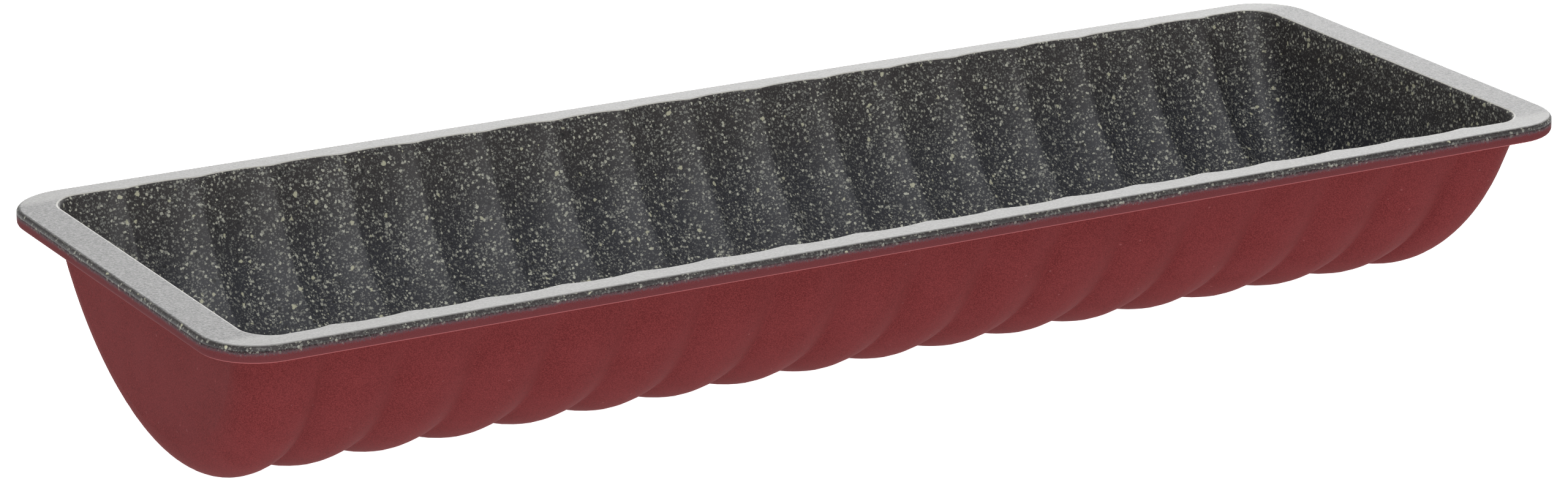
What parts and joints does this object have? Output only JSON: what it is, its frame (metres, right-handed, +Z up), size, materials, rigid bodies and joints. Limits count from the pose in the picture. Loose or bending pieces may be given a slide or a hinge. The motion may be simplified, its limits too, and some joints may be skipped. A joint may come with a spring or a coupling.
{
  "type": "ribbed loaf mould",
  "caption": "Long ribbed baking mould with a rounded trough, sloping end walls and a flat rounded rim, coated inside and out.",
  "frame": {"origin": "middle of the resting face under the trough", "axes": "+X along the mould, +Y across it, +Z up out of its mouth"},
  "size_m": [0.31, 0.1114, 0.0422],
  "materials": {
    "cast_metal": "satin cast aluminium, hidden under the coatings",
    "granite_nonstick": "speckled charcoal non-stick coating",
    "red_lacquer": "fine-grained matte dark red lacquer"
  },
  "bodies": {
    "root": {"pan_shell": "cast_metal", "granite_coating": "granite_nonstick", "red_lacquer": "red_lacquer"}
  },
  "joints": []
}
